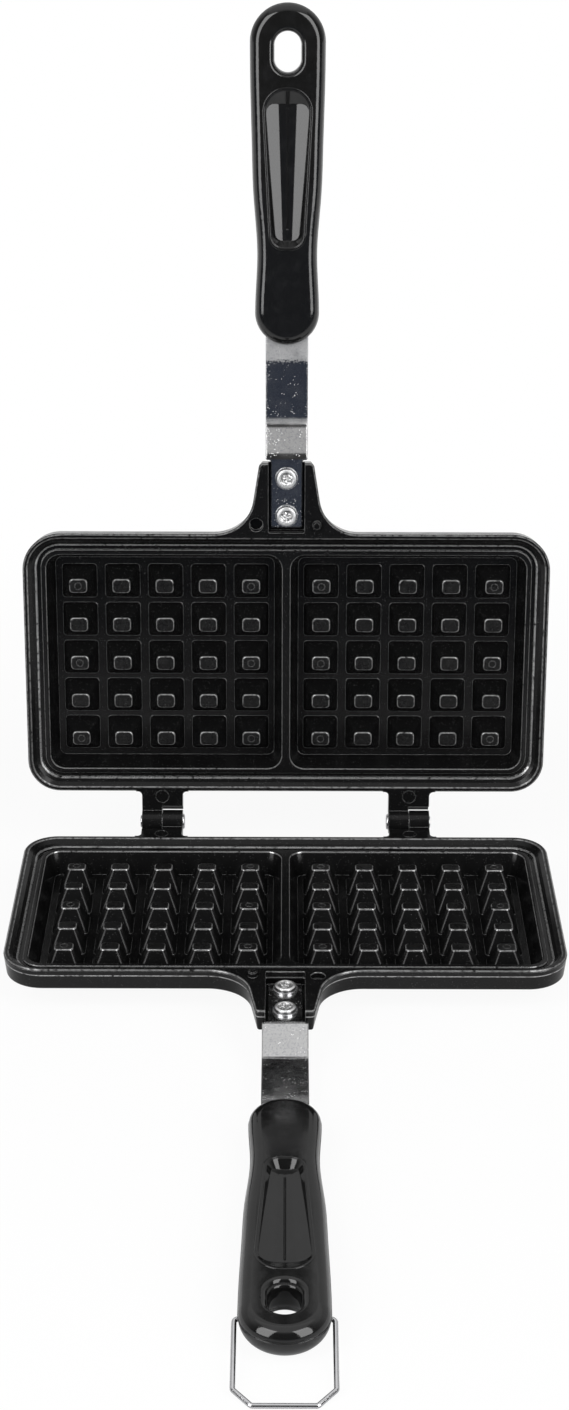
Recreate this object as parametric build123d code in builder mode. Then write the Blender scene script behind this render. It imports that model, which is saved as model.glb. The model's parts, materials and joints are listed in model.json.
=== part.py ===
"""Stovetop waffle iron: two identical cast aluminium halves on riveted hinges, with
riveted steel tangs, moulded grips and a wire locking bail.  Millimetres.

Frame: +X to the right, the handles point to -Y, +Z up.  The origin is the middle of the
face that the lower half stands on.

Each half has its own plane, at the middle of the hinge axis: local X along the axis,
local Y (called out below) from the hinge to the handle, local Z (called up) from the
outer face to the waffle side.  The parting plane is at half the closing gap below it.
The upper half is the lower one turned about its out direction, then opened.
"""
from math import asin, atan, cos, degrees, radians, sin, tan
import os

from build123d import *

os.makedirs("parts", exist_ok=True)

# ---------------------------------------------------------------- driving dimensions
tiny = 0.01                  # for picking edges by place

# pans
pan_width = 242.0
pan_depth = 125.0
pan_near_corner = 15.0       # at the hinge side
pan_far_corner = 17.5        # at the handle side
rim_height = 9.9             # outer skirt, from the parting plane down
rim_draft = 6.7              # degrees, outer side of the skirt and the lug
rim_plate = 6.6              # from the parting plane to the hollow under the rim
skirt_wall = 3.0
lip_width = 1.8              # top of the rim, which meets the other half
overflow = [(1.8, 0), (4.0, 2.0), (6.3, 3.1)]      # inset and depth of the overflow channel's slopes
groove_depth = 4.2           # below the lip, at the foot of the ridge
ridge_inset = 8.2            # outer side of the ridge, from the pan's edge
ridge_width = 2.2
ridge_drop = 2.6             # the ridge and the pegs stop this far below the lip
cavity_depth = 10.4          # from the ridge to the cavity floor
cavity_corner = 7.0
near_corner_rate = 0.8       # how fast corner radii shrink across the rim
far_corner_rate = 1.1
wall_draft = 20.0            # degrees, the cavity's side walls
divider_width = 3.5
floor_thickness = 3.4
body_wall = 2.6              # casting wall beside the cavity, at the floor
body_draft = 30.0            # degrees, outer side of the casting under the rim
body_edge_radius = 2.0
stand_height = 5.2           # foot rim under the floor, down to the face it stands on
stand_side_inset = 16.0      # from the pan's edge
stand_near_inset = 15.0
stand_far_inset = 22.5
stand_width = 5.0
stand_corner = 9.0
stand_edge = 1.2
body_corner = 4.0            # at the underside

# waffle pegs, truncated pyramids
peg_columns = 5              # in each of the two cavities
peg_rows = 5
peg_pitch_across = 19.9
peg_pitch_out = 18.5
peg_base = 16.1
peg_top_across = 7.8
peg_top_out = 6.0
peg_corner = 2.0
peg_edge = 0.9
peg_wall_gap = 2.6           # divider's foot to the first column

# small edges of the castings
rim_chamfer = 0.8
rim_foot_radius = 0.9
ridge_edge = 0.6

# hinge
hinge_offset = 14.9          # hinge axis to the pan's edge
hinge_spacing = 116.3        # between the middles of the two tabs
closing_gap = 0.3            # between the two rims when the iron is shut
open_angle = 95.75           # upper half, from shut to leaning on its stops
tab_width = 19.1
tab_thickness = 6.5
tab_fillet = 2.0
knuckle_radius = 5.4
knuckle_gap = 0.3            # side gap between the two knuckles of a tab
knuckle_relief = 7.6         # radius cleared in a tab for the other half's knuckle
stop_length = 2.0            # length of the stop dogs, which sit in recesses in the knuckles
stop_inner_radius = 2.6
stop_outer_radius = 3.9
stop_recess_radius = 4.2
stop_play = 0.4              # degrees left at each stop
pin_diameter = 4.4
pin_clearance = 0.08
pin_head_diameter = 7.2
pin_head_height = 0.9
pin_tail_diameter = 5.8
pin_tail_height = 0.6
pin_end_gap = 0.2            # beside the knuckle that turns on the pin
pin_edge = 0.25              # of the height of a head or tail, left flat at its rim

# lug that carries the tang, at the front of each casting
lug_reach = 33.1             # from the pan's edge to the lug's tip
lug_tip_width = 24.8
lug_taper = 9.0              # degrees, each side
lug_flare_radius = 18.0
lug_tip_radius = 2.2
seat_width = 16.6
seat_end_gap = 0.6           # from the pan's edge to the back of the tang's seat
seat_corner = 0.8
locator_offset = 13.8        # locating pin and hole, each side of the middle
locator_reach = 4.4          # from the pan's edge
locator_diameter = 3.9
locator_height = 2.4
locator_edge = 0.5
locator_hole_diameter = 6.3
locator_hole_depth = 4.0

# steel tang
tang_width = 19.1
tang_thickness = 1.8
tang_neck_width = 14.3
tang_seat_depth = 4.6        # top of the tang below the parting plane
tang_end_gap = 1.4           # back of the seat to the end of the tang
tang_shoulder_gap = 0.5      # lug tip to the tang's shoulders
tang_bend_angle = 30.0
tang_bend_lead = 1.6         # shoulders to the corner of the first bend
tang_first_radius = 6.0
tang_second_radius = 8.0
tang_in_grip = 37.0          # length held inside the grip
tang_grip_depth = 6.65       # middle of the tang below the inner face of the grip
tang_corner = 1.0
anchor_hole_diameter = 7.0
anchor_hole_inset = 12.0     # from the tang's inner end

# rivets through tang and lug
rivet_first = 7.6            # from the pan's edge
rivet_pitch = 17.5
rivet_shank = 4.9
rivet_clearance = 0.05
rivet_tail_diameter = 9.0
rivet_tail_height = 1.3
rivet_tail_dimple = 5.4
rivet_dimple_depth = 0.6
rivet_head_diameter = 9.6
rivet_head_height = 2.0
rivet_head_edge = 1.4
rivet_tail_edge = 0.5
rivet_dimple_edge = 0.25
washer_diameter = 10.4
washer_thickness = 0.8
washer_edge = 0.2

# moulded grip
grip_start = 85.2            # pan's edge to the near end of the grip
grip_length = 148.1
grip_thickness = 14.2
grip_below_land = 6.5        # inner face of the grip below the parting plane
grip_near_radius = 14.1
grip_waist_place = 40.5      # from the near end
grip_waist_half = 13.1
grip_shoulder_place = 67.5
grip_shoulder_half = 14.9
grip_hand_place = 86.0
grip_hand_half = 15.45
grip_tip_radius = 16.3
grip_inner_edge = 4.6        # edge radius on the side that faces the other grip
grip_outer_edge = 9.0        # on the side held in the hand
hang_hole_width = 12.6
hang_hole_length = 18.4
hang_hole_from_tip = 20.6    # tip of the grip to the middle of the hole
hang_hole_edge = 2.0
thumb_start = 43.6           # near end of the grip to the thumb recess
thumb_length = 68.0
thumb_near_half = 6.8
thumb_far_half = 10.3
thumb_near_corner = 5.6
thumb_far_corner = 9.0
thumb_floor = 4.2            # depth at which the recess's walls would end
thumb_wall_run = 2.7         # what the walls draw in by over that depth, at the sides
thumb_near_run = 3.2
thumb_far_run = 10.4
thumb_near_depth = 3.8       # bottom of the valley
thumb_far_depth = 2.4
thumb_inner_slope = 6.0      # degrees, each side of the valley, up to the inner crease
thumb_outer_slope = 16.0
thumb_near_crease = 1.9      # inner crease, from the middle
thumb_far_crease = 4.1
thumb_edge = 0.7

# wire bail
bail_wire = 1.9
bail_half_width = 17.6
bail_length = 37.6           # pivot to the middle of the cross bar
bail_corner_run = 6.8        # length of the cut corner, along the legs
bail_bar_half = 11.2
bail_bend_radius = 1.5
bail_pivot_from_tip = 16.6
bail_bore_depth = 5.6
bail_end_gap = 0.4
bail_bore_clearance = 0.08

# ---------------------------------------------------------------- derived places
parting = -closing_gap / 2
pan_near = hinge_offset
pan_far = hinge_offset + pan_depth
pan_middle = (pan_near + pan_far) / 2
ridge_level = parting - ridge_drop
floor_level = ridge_level - cavity_depth
under_level = floor_level - floor_thickness
stand_level = under_level - stand_height
rim_under = parting - rim_height
plate_under = parting - rim_plate

cavity_inset = ridge_inset + ridge_width
channel_inset, channel_depth = overflow[-1]
floor_run = cavity_depth * tan(radians(wall_draft))
body_inset = cavity_inset + floor_run - body_wall + floor_thickness * tan(radians(body_draft))
cavity_span = pan_width / 2 - cavity_inset - divider_width / 2
cavity_middle = (divider_width + cavity_span) / 2
cavity_reach = pan_depth - 2 * cavity_inset
first_column = (divider_width + peg_base) / 2 + floor_run + peg_wall_gap

stand_across = pan_width - 2 * stand_side_inset
stand_reach = pan_depth - stand_near_inset - stand_far_inset
stand_middle = pan_near + stand_near_inset + stand_reach / 2

tab_places = [-hinge_spacing / 2, hinge_spacing / 2]
stop_sweep = (360 - open_angle) / 2 - stop_play
stop_recess = stop_length / 2 + knuckle_gap
lug_root = lug_tip_width / 2 + lug_reach * tan(radians(lug_taper))
lug_tip = pan_far + lug_reach
locator_out = pan_far + locator_reach

tang_top = parting - tang_seat_depth
seat_floor = tang_top - tang_thickness
seat_back = pan_far + seat_end_gap
tang_back = seat_back + tang_end_gap
tang_shoulder = lug_tip + tang_shoulder_gap
grip_near = pan_far + grip_start
grip_far = grip_near + grip_length
grip_top = parting - grip_below_land
grip_under = grip_top - grip_thickness
tang_low = grip_top - tang_grip_depth + tang_thickness / 2       # top of the tang in the grip
tang_tip = grip_near + tang_in_grip
first_bend = tang_shoulder + tang_bend_lead
second_bend = first_bend + (tang_top - tang_low) / tan(radians(tang_bend_angle))
bend_shift = tang_thickness * tan(radians(tang_bend_angle / 2))
near_centre = grip_near + grip_near_radius
tip_centre = grip_far - grip_tip_radius
rivet_places = [pan_far + rivet_first, pan_far + rivet_first + rivet_pitch]
rivet_hole = rivet_shank / 2 + rivet_clearance

bail_pivot_out = grip_far - bail_pivot_from_tip
bail_level = (grip_top + grip_under) / 2
bail_bore_end = grip_tip_radius - bail_bore_depth
bail_rest = asin((bail_level - stand_level - bail_wire / 2) / bail_length)

# ---------------------------------------------------------------- planes of the halves
hinge_point = (0, pan_middle, -stand_level)
opened = radians(open_angle)
lower_half = Plane(origin=hinge_point, x_dir=(-1, 0, 0), z_dir=(0, 0, 1))
upper_half = Plane(origin=hinge_point, x_dir=(1, 0, 0), z_dir=(0, -sin(opened), -cos(opened)))


def up_axis(half, across=0, out=0):
    """Axis along up, through a point of the parting plane."""
    return Axis(origin=half.from_local_coords((across, out, 0)), direction=half.z_dir)


def section_plane(half, across, out=0):
    """Plane across local X at `across`, starting at `out`; its sketch axes are out and up."""
    return Plane(origin=half.from_local_coords((across, out, 0)), x_dir=half.y_dir, z_dir=half.x_dir)


def edges_at(part, half, level):
    """Edges of the part that lie in the level plane."""
    return part.edges().filter_by_position(up_axis(half), level - tiny, level + tiny)


def pan_outline(inset, mode=Mode.ADD):
    """Plan outline of the pan, drawn in by `inset`, in the open sketch."""
    plate = Rectangle(pan_width - 2 * inset, pan_depth - 2 * inset, mode=Mode.PRIVATE).face()
    near, far = plate.vertices().group_by(Axis.Y)
    plate = plate.fillet_2d(pan_near_corner - near_corner_rate * inset, near)
    far = plate.vertices().filter_by_position(Axis.Y, pan_depth / 2 - inset - pan_far_corner / 4, pan_depth)
    plate = plate.fillet_2d(pan_far_corner - far_corner_rate * inset, far)
    with Locations((0, pan_middle)):
        add(plate, mode=mode)


# ---------------------------------------------------------------- castings
def make_peg():
    """One waffle peg, standing at the origin, its foot sunk into the floor."""
    sink = floor_thickness / 3
    draft = atan((peg_base - peg_top_across) / (2 * cavity_depth))
    foot_across = peg_base + 2 * sink * tan(draft)
    foot_out = peg_base + sink * (peg_base - peg_top_out) / cavity_depth
    with BuildPart() as peg:
        with BuildSketch(Plane.XY.offset(-sink)):
            Rectangle(foot_across, foot_out)
        extrude(amount=cavity_depth + sink, taper=degrees(draft))
        with BuildSketch(Plane.YZ):
            with BuildLine():
                Polyline(
                    (-foot_out / 2, -sink), (foot_out / 2, -sink),
                    (peg_top_out / 2, cavity_depth), (-peg_top_out / 2, cavity_depth), close=True,
                )
            make_face()
        extrude(amount=foot_across, both=True, mode=Mode.INTERSECT)
        slanted = peg.edges().filter_by(GeomType.LINE).group_by(Axis.Z)[1]
        fillet(slanted, peg_corner)
        fillet(peg.faces().sort_by(Axis.Z)[-1].edges(), peg_edge)
    return peg.part


def make_tab(half, place, bore_radius):
    """One hinge tab: plate, knuckle on the -X side, and its stop dog."""
    side = place - tab_width / 2
    with BuildPart() as tab:
        # plate, flared into the back of the rim
        with BuildSketch(half.offset(parting - tab_thickness)) as plate:
            with Locations((place, pan_near / 2)):
                Rectangle(tab_width, pan_near)
            with Locations((place, pan_near + lip_width / 2)):
                Rectangle(tab_width + 2 * (tab_fillet + rim_chamfer), lip_width)
            inner = plate.vertices().filter_by(lambda v: abs(v.Y - pan_near) < tiny)
            fillet(inner.sort_by(lambda v: abs(v.X - place))[:2], tab_fillet)
        extrude(amount=tab_thickness)
        # room for the other half's knuckle
        with BuildSketch(section_plane(half, place - knuckle_gap / 2)):
            Circle(knuckle_relief)
        extrude(amount=(tab_width + knuckle_gap) / 2, mode=Mode.SUBTRACT)
        # knuckle, with the recess for the dogs and the pin bore
        with BuildSketch(section_plane(half, side)):
            Circle(knuckle_radius)
        extrude(amount=(tab_width - knuckle_gap) / 2)
        with BuildSketch(section_plane(half, place - stop_recess)):
            Circle(stop_recess_radius)
        extrude(amount=stop_recess, mode=Mode.SUBTRACT)
        with BuildSketch(section_plane(half, side)):
            Circle(bore_radius)
        extrude(amount=tab_width / 2, mode=Mode.SUBTRACT)
        # stop dog: meets the other half's when the iron is shut and when it is open
        with BuildSketch(section_plane(half, place - stop_recess)):
            with BuildLine():
                start = -stop_sweep - stop_play / 2
                inner_arc = CenterArc((0, 0), stop_inner_radius, start, stop_sweep)
                outer_arc = CenterArc((0, 0), stop_outer_radius, start, stop_sweep)
                Line(inner_arc @ 0, outer_arc @ 0)
                Line(inner_arc @ 1, outer_arc @ 1)
            make_face()
        extrude(amount=stop_recess + stop_length / 2)
    return tab.part


def make_overflow(half):
    """The overflow channel and the groove at the ridge's foot, as the solid that is taken out."""
    with BuildPart() as channel:
        for inset, depth in overflow:
            with BuildSketch(half.offset(parting - depth)):
                pan_outline(inset)
        loft(ruled=True)
        with BuildSketch(half.offset(parting - groove_depth)):
            pan_outline(channel_inset)
        extrude(amount=groove_depth - channel_depth)
        with BuildSketch(half.offset(parting - groove_depth)):
            pan_outline(ridge_inset)
        extrude(amount=groove_depth, mode=Mode.SUBTRACT)
    return channel.part


def make_pan(half, bore_radius, label):
    """One casting: rim, two peg cavities, foot rim, hinge tabs and the tang's lug."""
    up = up_axis(half)
    peg = make_peg()
    channel = make_overflow(half)
    with BuildPart() as pan:
        # rim block with the lug in front of it
        with BuildSketch(half.offset(parting)) as outline:
            pan_outline(0)
            with BuildLine():
                Polyline(
                    (-lug_root, pan_middle), (-lug_root, pan_far), (-lug_tip_width / 2, lug_tip),
                    (lug_tip_width / 2, lug_tip), (lug_root, pan_far), (lug_root, pan_middle), close=True,
                )
            make_face()
            flares = outline.vertices().filter_by(lambda v: abs(v.Y - pan_far) < tiny)
            fillet(flares.sort_by(lambda v: abs(v.X))[:2], lug_flare_radius)
            fillet(outline.vertices().sort_by(Axis.Y)[-2:], lug_tip_radius)
        extrude(amount=-rim_height, taper=rim_draft)
        chamfer(pan.faces().sort_by(up)[-1].edges(), rim_chamfer)
        fillet(pan.faces().sort_by(up)[0].edges(), rim_foot_radius)
        # hollow under the rim, around the drafted body
        with BuildSketch(half.offset(rim_under)):
            pan_outline(skirt_wall)
        extrude(amount=rim_height - rim_plate, mode=Mode.SUBTRACT)
        with BuildSketch(half.offset(under_level)):
            with Locations((0, pan_middle)):
                RectangleRounded(pan_width - 2 * body_inset, pan_depth - 2 * body_inset, body_corner)
        extrude(amount=plate_under - under_level, taper=-body_draft)
        fillet(pan.faces().sort_by(up)[0].edges(), body_edge_radius)
        # foot rim and the rib across it
        with BuildSketch(half.offset(stand_level)):
            with Locations((0, stand_middle)):
                RectangleRounded(stand_across, stand_reach, stand_corner)
                RectangleRounded(
                    stand_across - 2 * stand_width, stand_reach - 2 * stand_width,
                    stand_corner - stand_width, mode=Mode.SUBTRACT
                )
                Rectangle(stand_width, stand_reach)
        extrude(amount=stand_height)
        chamfer(pan.faces().sort_by(up)[0].edges(), stand_edge)
        # overflow channel inside the lip, and the level of the ridge and the divider inside it
        add(channel, mode=Mode.SUBTRACT)
        with BuildSketch(half.offset(ridge_level)):
            pan_outline(ridge_inset)
        extrude(amount=ridge_drop, mode=Mode.SUBTRACT)
        # cavities, with soft upper edges, and their pegs
        with BuildSketch(half.offset(floor_level)):
            with Locations((-cavity_middle, pan_middle), (cavity_middle, pan_middle)):
                RectangleRounded(
                    cavity_span - 2 * floor_run, cavity_reach - 2 * floor_run, cavity_corner - floor_run
                )
        extrude(amount=cavity_depth, taper=-wall_draft, mode=Mode.SUBTRACT)
        fillet(edges_at(pan, half, ridge_level), ridge_edge)
        columns = [side * (first_column + step * peg_pitch_across) for side in (-1, 1) for step in range(peg_columns)]
        rows = [pan_middle + (step - (peg_rows - 1) / 2) * peg_pitch_out for step in range(peg_rows)]
        with Locations(half.offset(floor_level)):
            with Locations([(column, row) for column in columns for row in rows]):
                add(peg)
        # hinge tabs
        for place in tab_places:
            add(make_tab(half, place, bore_radius))
        # seat for the tang, rivet holes
        with BuildSketch(half.offset(seat_floor)) as seat:
            with Locations((0, seat_back)):
                Rectangle(seat_width, lug_reach, align=(Align.CENTER, Align.MIN))
            fillet(seat.vertices().sort_by(Axis.Y)[:2], seat_corner)
        extrude(amount=tang_seat_depth + tang_thickness, mode=Mode.SUBTRACT)
        with BuildSketch(half.offset(rim_under)):
            with Locations([(0, out) for out in rivet_places]):
                Circle(rivet_hole)
        extrude(amount=rim_height, mode=Mode.SUBTRACT)
        # locating pin and hole
        with BuildSketch(half.offset(parting)):
            with Locations((locator_offset, locator_out)):
                Circle(locator_diameter / 2)
        extrude(amount=locator_height)
        chamfer(edges_at(pan, half, parting + locator_height), locator_edge)
        with BuildSketch(half.offset(parting - locator_hole_depth)):
            with Locations((-locator_offset, locator_out)):
                Circle(locator_hole_diameter / 2)
        extrude(amount=locator_hole_depth, mode=Mode.SUBTRACT)
    pan.part.label = label
    return pan.part


# ---------------------------------------------------------------- tangs and rivets
def make_tang(half, label):
    """Bent steel strip: necked seat in the lug, two bends, tail held in the grip."""
    with BuildPart() as tang:
        with BuildSketch(section_plane(half, -tang_width / 2)):
            with BuildLine():
                FilletPolyline(
                    (tang_back, tang_top), (first_bend, tang_top),
                    (second_bend, tang_low), (tang_tip, tang_low),
                    (tang_tip, tang_low - tang_thickness), (second_bend - bend_shift, tang_low - tang_thickness),
                    (first_bend - bend_shift, seat_floor), (tang_back, seat_floor),
                    radius=[
                        0, tang_first_radius, tang_second_radius - tang_thickness, 0,
                        0, tang_second_radius, tang_first_radius - tang_thickness, 0,
                    ],
                    close=True,
                )
            make_face()
        extrude(amount=tang_width)
        # plan outline with the neck, rivet holes and the hole that anchors it in the grip
        with BuildSketch(half.offset(tang_low - tang_thickness)) as outline:
            with Locations((0, tang_back)):
                Rectangle(tang_neck_width, tang_tip - tang_back, align=(Align.CENTER, Align.MIN))
            with Locations((0, tang_shoulder)):
                Rectangle(tang_width, tang_tip - tang_shoulder, align=(Align.CENTER, Align.MIN))
            fillet(outline.vertices(), tang_corner)
            with Locations([(0, out) for out in rivet_places]):
                Circle(rivet_hole, mode=Mode.SUBTRACT)
            with Locations((0, tang_tip - anchor_hole_inset)):
                Circle(anchor_hole_diameter / 2, mode=Mode.SUBTRACT)
        extrude(amount=tang_top - tang_low + tang_thickness, mode=Mode.INTERSECT)
    tang.part.label = label
    return tang.part


def make_rivet(half, out, label):
    """Rivet through tang and lug: button head below, rolled tail on the washer."""
    tail_base = tang_top + washer_thickness
    tail_top = tail_base + rivet_tail_height
    head_level = rim_under - rivet_head_height
    with BuildPart() as rivet:
        with BuildSketch(section_plane(half, 0, out)):
            with BuildLine():
                FilletPolyline(
                    (0, head_level), (rivet_head_diameter / 2, head_level),
                    (rivet_head_diameter / 2, rim_under), (rivet_shank / 2, rim_under),
                    (rivet_shank / 2, tail_base), (rivet_tail_diameter / 2, tail_base),
                    (rivet_tail_diameter / 2, tail_top), (rivet_tail_dimple / 2, tail_top),
                    (rivet_tail_dimple / 2, tail_top - rivet_dimple_depth), (0, tail_top - rivet_dimple_depth),
                    radius=[0, rivet_head_edge, 0, 0, 0, 0, rivet_tail_edge, rivet_dimple_edge, 0, 0],
                    close=True,
                )
            make_face()
        revolve(axis=up_axis(half, 0, out))
    rivet.part.label = label
    return rivet.part


def make_washer(half, out, label):
    """Washer between a rivet's tail and the tang."""
    with BuildPart() as washer:
        with BuildSketch(half.offset(tang_top)):
            with Locations((0, out)):
                Circle(washer_diameter / 2)
                Circle(rivet_hole, mode=Mode.SUBTRACT)
        extrude(amount=washer_thickness)
        rim = edges_at(washer, half, tang_top + washer_thickness).sort_by(SortBy.RADIUS)[-1]
        fillet(rim, washer_edge)
    washer.part.label = label
    return washer.part


def make_hinge_pin(side, label):
    """Pin tight in the lower knuckle, headed on the side towards the iron's middle."""
    centre = side * hinge_spacing / 2
    loose_end = centre - tab_width / 2 - pin_end_gap
    tight_end = centre + tab_width / 2
    head = (tight_end, 1) if side < 0 else (loose_end, -1)
    tail = (loose_end, -1) if side < 0 else (tight_end, 1)
    caps = ((head, pin_head_diameter, pin_head_height), (tail, pin_tail_diameter, pin_tail_height))
    hinge_plane = section_plane(upper_half, 0)
    with BuildPart() as pin:
        with BuildSketch(hinge_plane.offset(loose_end)):
            Circle(pin_diameter / 2)
        extrude(amount=tight_end - loose_end)
        for (end, outward), diameter, height in caps:
            with BuildSketch(hinge_plane.offset(end)):
                Circle(diameter / 2)
            extrude(amount=outward * height)
            face = pin.faces().sort_by(Axis.X)[-1 if outward > 0 else 0]
            fillet(face.edges(), height * (1 - pin_edge))
    pin.part.label = label
    return pin.part


# ---------------------------------------------------------------- grips and bail
def make_thumb_pocket(half):
    """Thumb recess with a creased, V-shaped bottom, as the solid that is taken out of a grip."""
    near = grip_near + thumb_start
    far = near + thumb_length
    outlines = (
        (0, thumb_near_half, thumb_far_half, near, far),
        (
            thumb_floor, thumb_near_half - thumb_wall_run, thumb_far_half - thumb_wall_run,
            near + thumb_near_run, far - thumb_far_run,
        ),
    )
    valley = (
        (near, thumb_near_depth, thumb_near_crease),
        (far, thumb_far_depth, thumb_far_crease),
    )
    with BuildPart() as pocket:
        for depth, near_half, far_half, start, end in outlines:
            with BuildSketch(half.offset(grip_top - depth)) as outline:
                with BuildLine():
                    Polyline(
                        (-near_half, start), (near_half, start), (far_half, end), (-far_half, end), close=True
                    )
                make_face()
                corner_rate = near_half / thumb_near_half
                fillet(outline.vertices().group_by(Axis.Y)[0], thumb_near_corner * corner_rate)
                fillet(outline.vertices().group_by(Axis.Y)[-1], thumb_far_corner * far_half / thumb_far_half)
        loft(ruled=True)
        with BuildPart(mode=Mode.INTERSECT):
            for out, depth, crease in valley:
                rise = crease * tan(radians(thumb_inner_slope))
                side_rise = (grip_tip_radius - crease) * tan(radians(thumb_outer_slope))
                section = Plane(
                    origin=half.from_local_coords((0, out, grip_top)), x_dir=half.x_dir, z_dir=-half.y_dir
                )
                with BuildSketch(section):
                    with BuildLine():
                        Polyline(
                            (0, -depth), (crease, rise - depth), (grip_tip_radius, rise + side_rise - depth),
                            (grip_tip_radius, thumb_floor), (-grip_tip_radius, thumb_floor),
                            (-grip_tip_radius, rise + side_rise - depth), (-crease, rise - depth), close=True,
                        )
                    make_face()
            loft(ruled=True)
    return pocket.part


def make_grip(half, tang, holds_bail, label):
    """Moulded grip around a tang: waisted outline, thumb recess and hanging hole."""
    up = up_axis(half)
    side_points = [
        (grip_near_radius, near_centre), (grip_waist_half, grip_near + grip_waist_place),
        (grip_shoulder_half, grip_near + grip_shoulder_place), (grip_hand_half, grip_near + grip_hand_place),
        (grip_tip_radius, tip_centre),
    ]
    pocket = make_thumb_pocket(half)
    with BuildPart() as grip:
        with BuildSketch(half.offset(grip_under)):
            with BuildLine():
                CenterArc((0, near_centre), grip_near_radius, 180, 180)
                CenterArc((0, tip_centre), grip_tip_radius, 0, 180)
                for side in (-1, 1):
                    Spline([(side * across, out) for across, out in side_points], tangents=((0, 1), (0, 1)))
            make_face()
        extrude(amount=grip_thickness)
        fillet(grip.faces().sort_by(up)[-1].edges(), grip_inner_edge)
        fillet(grip.faces().sort_by(up)[0].edges(), grip_outer_edge)
        with BuildSketch(half.offset(grip_under)):
            with Locations((0, grip_far - hang_hole_from_tip)):
                SlotOverall(hang_hole_length, hang_hole_width, rotation=90)
        extrude(amount=grip_thickness, mode=Mode.SUBTRACT)
        for face in (grip.faces().sort_by(up)[-1], grip.faces().sort_by(up)[0]):
            fillet(face.inner_wires()[0].edges(), hang_hole_edge)
        add(pocket, mode=Mode.SUBTRACT)
        pocket_rim = grip.faces().sort_by(up)[-1].inner_wires().sort_by(SortBy.LENGTH)[-1]
        fillet(pocket_rim.edges(), thumb_edge)
        if holds_bail:
            for side in (-1, 1):
                with BuildSketch(section_plane(half, side * bail_bore_end)):
                    with Locations((bail_pivot_out, bail_level)):
                        Circle(bail_wire / 2 + bail_bore_clearance)
                extrude(amount=side * bail_bore_depth, mode=Mode.SUBTRACT)
        add(tang, mode=Mode.SUBTRACT)
    grip.part.label = label
    return grip.part


def make_bail(label):
    """Wire bail that pivots in the lower grip and snaps over the upper one."""
    pivot = lower_half.from_local_coords((0, bail_pivot_out, bail_level))
    bail_plane = Plane(origin=pivot, x_dir=(1, 0, 0), z_dir=(0, sin(bail_rest), -cos(bail_rest)))
    bail_end = bail_bore_end + bail_end_gap
    right_side = [
        (bail_bar_half, bail_length), (bail_half_width, bail_length - bail_corner_run),
        (bail_half_width, 0), (bail_end, 0),
    ]
    left_side = [(-across, out) for across, out in reversed(right_side)]
    with BuildPart() as bail:
        with BuildLine(bail_plane) as path:
            FilletPolyline(left_side + right_side, radius=bail_bend_radius)
        with BuildSketch(path.line ^ 0):
            Circle(bail_wire / 2)
        sweep()
    bail.part.label = label
    return bail.part


# ---------------------------------------------------------------- parts
for side, half in (("lower", lower_half), ("upper", upper_half)):
    bore_radius = pin_diameter / 2 + (pin_clearance if half is upper_half else 0)
    pan = make_pan(half, bore_radius, side + "_pan")
    export_step(pan, "parts/" + side + "_pan.step")
    tang = make_tang(half, side + "_tang")
    export_step(tang, "parts/" + side + "_tang.step")
    grip = make_grip(half, tang, half is lower_half, side + "_grip")
    export_step(grip, "parts/" + side + "_grip.step")
    for position, out in zip(("inner", "outer"), rivet_places):
        rivet = make_rivet(half, out, side + "_rivet_" + position)
        export_step(rivet, "parts/" + side + "_rivet_" + position + ".step")
        washer = make_washer(half, out, side + "_washer_" + position)
        export_step(washer, "parts/" + side + "_washer_" + position + ".step")

for name, side in (("left_hinge_pin", -1), ("right_hinge_pin", 1)):
    pin = make_hinge_pin(side, name)
    export_step(pin, "parts/" + name + ".step")

bail = make_bail("bail")
export_step(bail, "parts/bail.step")
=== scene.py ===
"""Looks of the stovetop waffle iron: camera, studio, finishes and small moulded details."""
import json
import math

import bmesh
import bpy
import numpy as np
from mathutils import Matrix, Vector


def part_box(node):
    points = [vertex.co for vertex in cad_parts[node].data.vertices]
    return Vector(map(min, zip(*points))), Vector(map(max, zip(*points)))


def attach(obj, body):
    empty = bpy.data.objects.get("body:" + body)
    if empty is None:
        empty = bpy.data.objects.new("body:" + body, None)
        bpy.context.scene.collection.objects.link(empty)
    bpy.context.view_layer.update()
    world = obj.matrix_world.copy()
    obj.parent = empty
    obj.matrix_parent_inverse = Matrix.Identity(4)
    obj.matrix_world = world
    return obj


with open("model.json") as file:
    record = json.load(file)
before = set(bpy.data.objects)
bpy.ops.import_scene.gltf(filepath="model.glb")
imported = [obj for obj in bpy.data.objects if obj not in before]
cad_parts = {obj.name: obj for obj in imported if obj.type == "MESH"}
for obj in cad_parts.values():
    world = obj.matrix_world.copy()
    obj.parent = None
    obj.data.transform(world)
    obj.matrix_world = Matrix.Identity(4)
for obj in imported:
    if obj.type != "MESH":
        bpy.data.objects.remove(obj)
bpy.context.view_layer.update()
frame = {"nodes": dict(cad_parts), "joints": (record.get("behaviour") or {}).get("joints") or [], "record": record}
nodes = frame["nodes"]
MM = 0.001
MERGE_WITHIN = 1e-7

# ------------------------------------------------------------------ camera
FRAME_HEIGHT = 1410
FOCAL_PIXELS = 2531.8
SENSOR = 36.0
CAMERA_PLACE = Vector((-0.66, -994.1, 560.3)) * MM
CAMERA_PITCH = math.radians(24.05)
CAMERA_ROLL = math.radians(0.16)


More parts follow.
